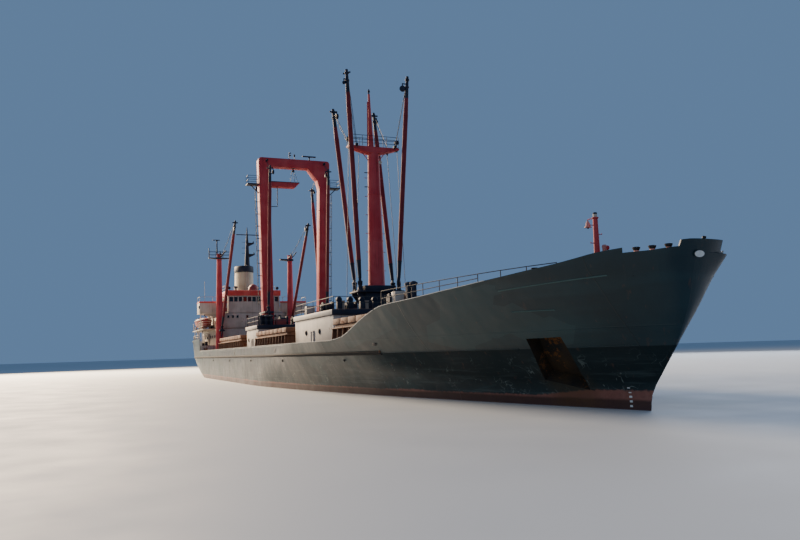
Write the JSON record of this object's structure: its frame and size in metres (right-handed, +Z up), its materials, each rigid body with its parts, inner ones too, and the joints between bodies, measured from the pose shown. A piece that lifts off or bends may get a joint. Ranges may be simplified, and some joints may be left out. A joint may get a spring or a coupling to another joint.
{
  "type": "general cargo ship with derricks, 1:10 scale model",
  "caption": "Geared general cargo ship afloat, with a long raised forecastle, single mast, portal mast, samson posts and derricks that slew and luff; 1:10 scale model.",
  "frame": {"origin": "on the centreline amidships, at the waterline", "axes": "+X towards the bow, +Y to port, +Z up"},
  "size_m": [10.5869, 1.56, 3.1538],
  "materials": {
    "antifouling_red_paint": "matt antifouling",
    "fascia_red_paint": "satin",
    "fitting_navy_paint": "satin, greasy",
    "funnel_cream_paint": "satin, sooty at the top",
    "hatch_paint": "matt, rusty",
    "house_white_paint": "satin, streaked",
    "hull_paint": "satin marine paint, scuffed, with rust low down",
    "lifeboat_orange_plastic": "glass-reinforced plastic, weathered",
    "mast_house_grey_paint": "matt, streaked",
    "mast_red_paint": "satin, faded",
    "propeller_bronze": "cast bronze, ground",
    "topside_paint": "satin marine paint, scuffed"
  },
  "bodies": {
    "ship": {"bow_bulwark_port": "topside_paint", "bow_bulwark_starboard": "topside_paint", "bridge_wing_port": "house_white_paint", "bridge_wing_starboard": "house_white_paint", "bulwark_port": "topside_paint", "bulwark_starboard": "topside_paint", "davits_port": "house_white_paint", "davits_starboard": "house_white_paint", "deckhouse_lower": "house_white_paint", "deckhouse_middle": "house_white_paint", "forecastle": "topside_paint", "foremast": "mast_red_paint", "funnel": "funnel_cream_paint", "hatch_1_coaming": "hatch_paint", "hatch_1_cover": "hatch_paint", "hatch_2_coaming": "hatch_paint", "hatch_2_cover": "hatch_paint", "hatch_3_coaming": "hatch_paint", "hatch_3_cover": "hatch_paint", "hull": "hull_paint", "lifeboat_port": "lifeboat_orange_plastic", "lifeboat_starboard": "lifeboat_orange_plastic", "main_mast": "mast_red_paint", "main_mast_house": "mast_house_grey_paint", "main_winches": "fitting_navy_paint", "poop": "topside_paint", "portal_mast": "mast_red_paint", "portal_mast_house": "mast_house_grey_paint", "portal_winches": "fitting_navy_paint", "samson_post_port": "mast_red_paint", "samson_post_starboard": "mast_red_paint", "signal_mast": "fitting_navy_paint", "wheelhouse": "house_white_paint", "wheelhouse_roof": "fascia_red_paint", "windlass": "fitting_navy_paint"},
    "derrick_after_port": {"derrick_after_port": "mast_red_paint"},
    "derrick_after_starboard": {"derrick_after_starboard": "mast_red_paint"},
    "derrick_main_aft_port": {"derrick_main_aft_port": "mast_red_paint"},
    "derrick_main_aft_starboard": {"derrick_main_aft_starboard": "mast_red_paint"},
    "derrick_main_fore_port": {"derrick_main_fore_port": "mast_red_paint"},
    "derrick_main_fore_starboard": {"derrick_main_fore_starboard": "mast_red_paint"},
    "derrick_portal_aft_port": {"derrick_portal_aft_port": "mast_red_paint"},
    "derrick_portal_aft_starboard": {"derrick_portal_aft_starboard": "mast_red_paint"},
    "derrick_portal_fore_port": {"derrick_portal_fore_port": "mast_red_paint"},
    "derrick_portal_fore_starboard": {"derrick_portal_fore_starboard": "mast_red_paint"},
    "gooseneck_after_port": {"gooseneck_after_port": "fitting_navy_paint"},
    "gooseneck_after_starboard": {"gooseneck_after_starboard": "fitting_navy_paint"},
    "gooseneck_main_aft_port": {"gooseneck_main_aft_port": "fitting_navy_paint"},
    "gooseneck_main_aft_starboard": {"gooseneck_main_aft_starboard": "fitting_navy_paint"},
    "gooseneck_main_fore_port": {"gooseneck_main_fore_port": "fitting_navy_paint"},
    "gooseneck_main_fore_starboard": {"gooseneck_main_fore_starboard": "fitting_navy_paint"},
    "gooseneck_portal_aft_port": {"gooseneck_portal_aft_port": "fitting_navy_paint"},
    "gooseneck_portal_aft_starboard": {"gooseneck_portal_aft_starboard": "fitting_navy_paint"},
    "gooseneck_portal_fore_port": {"gooseneck_portal_fore_port": "fitting_navy_paint"},
    "gooseneck_portal_fore_starboard": {"gooseneck_portal_fore_starboard": "fitting_navy_paint"},
    "propeller": {"propeller": "propeller_bronze"},
    "rudder": {"rudder": "antifouling_red_paint"},
    "wheelhouse_door_port": {"wheelhouse_door_port": "house_white_paint"},
    "wheelhouse_door_starboard": {"wheelhouse_door_starboard": "house_white_paint"}
  },
  "joints": [
    {"name": "slew_main_fore_starboard", "type": "hinge", "parent": "ship", "child": "gooseneck_main_fore_starboard", "pos_m": [1.75, -0.168, 0.84], "axis": [0, 0, -1], "range_deg": [-40, 30]},
    {"name": "luff_main_fore_starboard", "type": "hinge", "parent": "gooseneck_main_fore_starboard", "child": "derrick_main_fore_starboard", "pos_m": [1.75, -0.168, 0.84], "axis": [0.7839, 0.6209, 0], "range_deg": [0, 70]},
    {"name": "slew_main_fore_port", "type": "hinge", "parent": "ship", "child": "gooseneck_main_fore_port", "pos_m": [1.75, 0.168, 0.84], "axis": [0, 0, 1], "range_deg": [-40, 30]},
    {"name": "luff_main_fore_port", "type": "hinge", "parent": "gooseneck_main_fore_port", "child": "derrick_main_fore_port", "pos_m": [1.75, 0.168, 0.84], "axis": [-0.7839, 0.6209, 0], "range_deg": [0, 70]},
    {"name": "slew_main_aft_starboard", "type": "hinge", "parent": "ship", "child": "gooseneck_main_aft_starboard", "pos_m": [1.615, -0.169, 0.84], "axis": [0, 0, 1], "range_deg": [-10, 70]},
    {"name": "luff_main_aft_starboard", "type": "hinge", "parent": "gooseneck_main_aft_starboard", "child": "derrick_main_aft_starboard", "pos_m": [1.615, -0.169, 0.84], "axis": [0.0577, -0.9983, 0], "range_deg": [-5, 60]},
    {"name": "slew_main_aft_port", "type": "hinge", "parent": "ship", "child": "gooseneck_main_aft_port", "pos_m": [1.615, 0.169, 0.84], "axis": [0, 0, -1], "range_deg": [-10, 70]},
    {"name": "luff_main_aft_port", "type": "hinge", "parent": "gooseneck_main_aft_port", "child": "derrick_main_aft_port", "pos_m": [1.615, 0.169, 0.84], "axis": [-0.0577, -0.9983, 0], "range_deg": [-5, 60]},
    {"name": "slew_portal_fore_starboard", "type": "hinge", "parent": "ship", "child": "gooseneck_portal_fore_starboard", "pos_m": [-0.875, -0.34, 0.805], "axis": [0, 0, -1], "range_deg": [-15, 80]},
    {"name": "luff_portal_fore_starboard", "type": "hinge", "parent": "gooseneck_portal_fore_starboard", "child": "derrick_portal_fore_starboard", "pos_m": [-0.875, -0.34, 0.805], "axis": [0, 1, 0], "range_deg": [0, 70]},
    {"name": "slew_portal_fore_port", "type": "hinge", "parent": "ship", "child": "gooseneck_portal_fore_port", "pos_m": [-0.875, 0.34, 0.805], "axis": [0, 0, 1], "range_deg": [-15, 80]},
    {"name": "luff_portal_fore_port", "type": "hinge", "parent": "gooseneck_portal_fore_port", "child": "derrick_portal_fore_port", "pos_m": [-0.875, 0.34, 0.805], "axis": [0, 1, 0], "range_deg": [0, 70]},
    {"name": "slew_portal_aft_starboard", "type": "hinge", "parent": "ship", "child": "gooseneck_portal_aft_starboard", "pos_m": [-1.125, -0.34, 0.805], "axis": [0, 0, 1], "range_deg": [-15, 80]},
    {"name": "luff_portal_aft_starboard", "type": "hinge", "parent": "gooseneck_portal_aft_starboard", "child": "derrick_portal_aft_starboard", "pos_m": [-1.125, -0.34, 0.805], "axis": [-0.0351, -0.9994, 0], "range_deg": [-4, 60]},
    {"name": "slew_portal_aft_port", "type": "hinge", "parent": "ship", "child": "gooseneck_portal_aft_port", "pos_m": [-1.125, 0.34, 0.805], "axis": [0, 0, -1], "range_deg": [-15, 80]},
    {"name": "luff_portal_aft_port", "type": "hinge", "parent": "gooseneck_portal_aft_port", "child": "derrick_portal_aft_port", "pos_m": [-1.125, 0.34, 0.805], "axis": [0.0351, -0.9994, 0], "range_deg": [-4, 60]},
    {"name": "slew_after_starboard", "type": "hinge", "parent": "ship", "child": "gooseneck_after_starboard", "pos_m": [-3.2, -0.49, 0.69], "axis": [0, 0, -1], "range_deg": [-15, 75]},
    {"name": "luff_after_starboard", "type": "hinge", "parent": "gooseneck_after_starboard", "child": "derrick_after_starboard", "pos_m": [-3.2, -0.49, 0.69], "axis": [-0.0075, 1, 0], "range_deg": [-20, 41]},
    {"name": "slew_after_port", "type": "hinge", "parent": "ship", "child": "gooseneck_after_port", "pos_m": [-3.2, 0.49, 0.69], "axis": [0, 0, 1], "range_deg": [-15, 75]},
    {"name": "luff_after_port", "type": "hinge", "parent": "gooseneck_after_port", "child": "derrick_after_port", "pos_m": [-3.2, 0.49, 0.69], "axis": [0.0075, 1, 0], "range_deg": [-20, 41]},
    {"name": "propeller_spin", "type": "hinge", "parent": "ship", "child": "propeller", "pos_m": [-4.73, 0, -0.34], "axis": [1, 0, 0], "continuous": true},
    {"name": "rudder_turn", "type": "hinge", "parent": "ship", "child": "rudder", "pos_m": [-4.89, 0, -0.34], "axis": [0, 0, 1], "range_deg": [-35, 35]},
    {"name": "door_starboard", "type": "hinge", "parent": "ship", "child": "wheelhouse_door_starboard", "pos_m": [-3.527, -0.373, 1], "axis": [0, 0, 1], "range_deg": [0, 90]},
    {"name": "door_port", "type": "hinge", "parent": "ship", "child": "wheelhouse_door_port", "pos_m": [-3.527, 0.373, 1], "axis": [0, 0, -1], "range_deg": [0, 90]}
  ]
}
